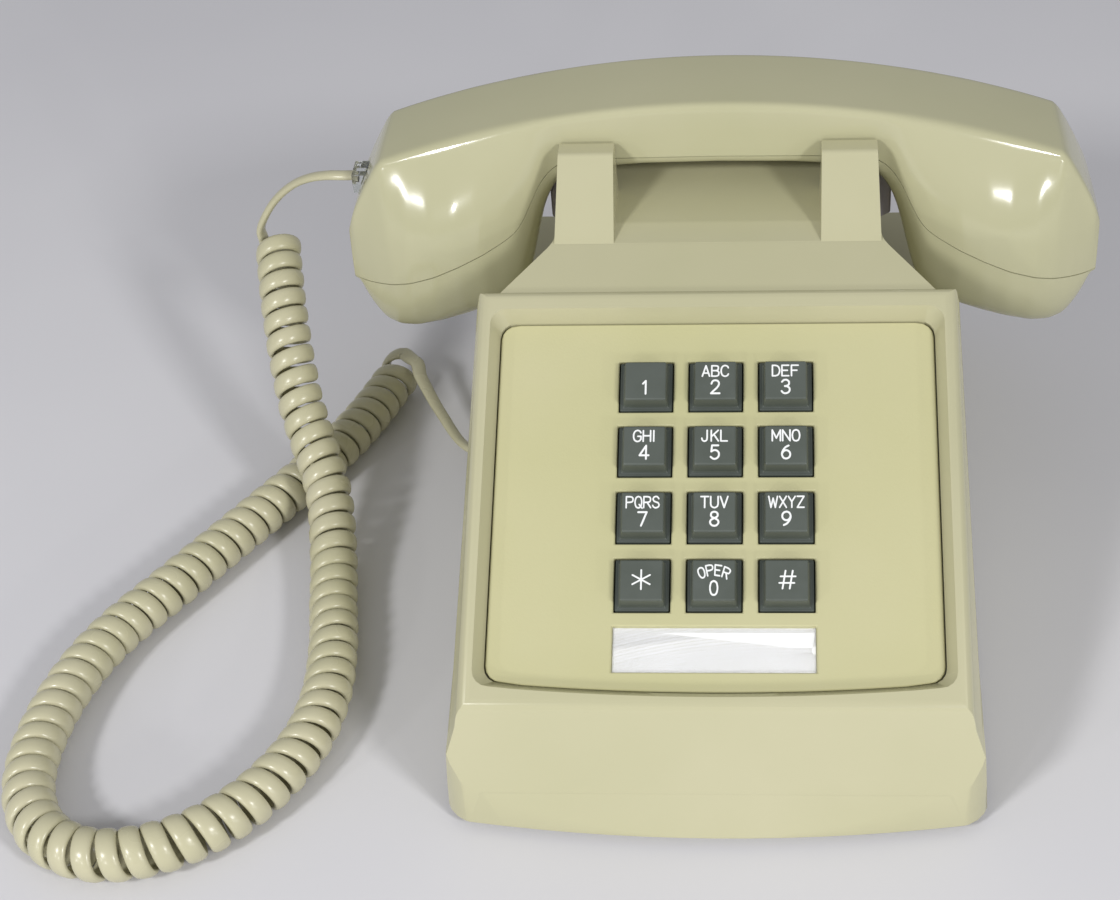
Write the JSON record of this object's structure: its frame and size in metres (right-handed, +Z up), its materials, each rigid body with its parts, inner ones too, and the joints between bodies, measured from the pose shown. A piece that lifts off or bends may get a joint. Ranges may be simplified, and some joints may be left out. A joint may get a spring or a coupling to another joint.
{
  "type": "corded telephone",
  "caption": "Corded desk telephone in beige plastic with a push-button keypad, a number card, a cradle with hook plungers and a handset on a curly cord.",
  "frame": {"origin": "on the table, under the middle of the telephone without its free cord", "axes": "+X to the right as its user sees it, +Y towards the back, +Z up"},
  "size_m": [0.2818, 0.2326, 0.1175],
  "materials": {
    "housing_plastic": "glossy injection-moulded beige",
    "faceplate_plastic": "satin finely textured beige",
    "handset_plastic": "glossy injection-moulded beige",
    "key_plastic": "satin grey with white legends",
    "card_paper": "plain white card",
    "clear_plastic": "clear",
    "steel": "zinc-plated",
    "foot_rubber": "matt black",
    "dark_plastic": "moulded black",
    "mat_rubber": "soft pale silicone",
    "board": "green printed board",
    "plunger_plastic": "smooth greyish plastic",
    "brass": "plain",
    "coil_wrap": "taped winding",
    "capsule_metal": "stamped",
    "wheel_plastic": "ribbed",
    "cord_pvc": "glossy soft beige vinyl"
  },
  "bodies": {
    "base": {"housing": "housing_plastic", "faceplate": "faceplate_plastic", "number_card": "card_paper", "card_window": "clear_plastic", "base_plate": "steel", "feet": "foot_rubber", "housing_screws": "steel", "keypad_frame": "dark_plastic", "key_mat": "mat_rubber", "keypad_board": "board", "keypad_screws": "steel", "hook_shaft": "steel", "hook_bracket": "steel", "hook_spring": "steel", "hook_contacts": "dark_plastic", "network_block": "dark_plastic", "network_terminals": "brass", "ringer_frame": "steel", "ringer_coil": "coil_wrap", "gong_large": "brass", "gong_small": "brass", "gong_screws": "steel", "clapper_pin": "steel", "volume_bracket": "steel", "line_jack": "dark_plastic", "handset_jack": "dark_plastic", "base_plug": "clear_plastic", "cord_coil": "cord_pvc", "cord_lead_base": "cord_pvc"},
    "handset": {"handset_outer_shell": "handset_plastic", "handset_inner_shell": "handset_plastic", "transmitter_capsule": "capsule_metal", "receiver_capsule": "dark_plastic", "handset_socket": "dark_plastic", "handset_plug": "clear_plastic", "cord_lead_handset": "cord_pvc"},
    "plunger_left": {"plunger_left": "plunger_plastic"},
    "plunger_right": {"plunger_right": "plunger_plastic"},
    "bail": {"hook_bail": "steel"},
    "clapper": {"clapper": "steel"},
    "volume_wheel": {"volume_wheel": "wheel_plastic"},
    "key_1": {"key_1": "key_plastic"},
    "key_2": {"key_2": "key_plastic"},
    "key_3": {"key_3": "key_plastic"},
    "key_4": {"key_4": "key_plastic"},
    "key_5": {"key_5": "key_plastic"},
    "key_6": {"key_6": "key_plastic"},
    "key_7": {"key_7": "key_plastic"},
    "key_8": {"key_8": "key_plastic"},
    "key_9": {"key_9": "key_plastic"},
    "key_star": {"key_star": "key_plastic"},
    "key_0": {"key_0": "key_plastic"},
    "key_pound": {"key_pound": "key_plastic"}
  },
  "joints": [
    {"name": "handset_lift", "type": "slide", "parent": "base", "child": "handset", "axis": [0, 0, 1], "range_m": [0, 0.1], "deforming": ["cord_lead_handset"]},
    {"name": "hook_left", "type": "slide", "parent": "base", "child": "plunger_left", "axis": [0, 0, 1], "range_m": [0, 0.007]},
    {"name": "hook_right", "type": "slide", "parent": "base", "child": "plunger_right", "axis": [0, 0, 1], "range_m": [0, 0.007]},
    {"name": "hook_bail_turn", "type": "hinge", "parent": "base", "child": "bail", "pos_m": [0, 0.023, 0.069], "axis": [1, 0, 0], "range_deg": [0, 12.9]},
    {"name": "clapper_swing", "type": "hinge", "parent": "base", "child": "clapper", "pos_m": [-0.001, 0.0264, 0.0142], "axis": [0, 0, 1], "range_deg": [-2.5, 2.5], "stiffness_Nm_per_rad": 0.01},
    {"name": "volume_turn", "type": "hinge", "parent": "base", "child": "volume_wheel", "pos_m": [0.046, 0.014, 0.0135], "axis": [1, 0, 0], "range_deg": [0, 90]},
    {"name": "press_1", "type": "slide", "parent": "base", "child": "key_1", "axis": [0, 0.4695, -0.8829], "range_m": [0, 0.0032], "stiffness_N_per_m": 150, "springref_m": -0.002},
    {"name": "press_2", "type": "slide", "parent": "base", "child": "key_2", "axis": [0, 0.4695, -0.8829], "range_m": [0, 0.0032], "stiffness_N_per_m": 150, "springref_m": -0.002},
    {"name": "press_3", "type": "slide", "parent": "base", "child": "key_3", "axis": [0, 0.4695, -0.8829], "range_m": [0, 0.0032], "stiffness_N_per_m": 150, "springref_m": -0.002},
    {"name": "press_4", "type": "slide", "parent": "base", "child": "key_4", "axis": [0, 0.4695, -0.8829], "range_m": [0, 0.0032], "stiffness_N_per_m": 150, "springref_m": -0.002},
    {"name": "press_5", "type": "slide", "parent": "base", "child": "key_5", "axis": [0, 0.4695, -0.8829], "range_m": [0, 0.0032], "stiffness_N_per_m": 150, "springref_m": -0.002},
    {"name": "press_6", "type": "slide", "parent": "base", "child": "key_6", "axis": [0, 0.4695, -0.8829], "range_m": [0, 0.0032], "stiffness_N_per_m": 150, "springref_m": -0.002},
    {"name": "press_7", "type": "slide", "parent": "base", "child": "key_7", "axis": [0, 0.4695, -0.8829], "range_m": [0, 0.0032], "stiffness_N_per_m": 150, "springref_m": -0.002},
    {"name": "press_8", "type": "slide", "parent": "base", "child": "key_8", "axis": [0, 0.4695, -0.8829], "range_m": [0, 0.0032], "stiffness_N_per_m": 150, "springref_m": -0.002},
    {"name": "press_9", "type": "slide", "parent": "base", "child": "key_9", "axis": [0, 0.4695, -0.8829], "range_m": [0, 0.0032], "stiffness_N_per_m": 150, "springref_m": -0.002},
    {"name": "press_star", "type": "slide", "parent": "base", "child": "key_star", "axis": [0, 0.4695, -0.8829], "range_m": [0, 0.0032], "stiffness_N_per_m": 150, "springref_m": -0.002},
    {"name": "press_0", "type": "slide", "parent": "base", "child": "key_0", "axis": [0, 0.4695, -0.8829], "range_m": [0, 0.0032], "stiffness_N_per_m": 150, "springref_m": -0.002},
    {"name": "press_pound", "type": "slide", "parent": "base", "child": "key_pound", "axis": [0, 0.4695, -0.8829], "range_m": [0, 0.0032], "stiffness_N_per_m": 150, "springref_m": -0.002}
  ],
  "couplings": [
    {"joint": "hook_left", "follows": "handset_lift", "ratio": 0.07},
    {"joint": "hook_right", "follows": "handset_lift", "ratio": 0.07},
    {"joint": "hook_bail_turn", "follows": "handset_lift", "rad_per_m": 2.249}
  ]
}
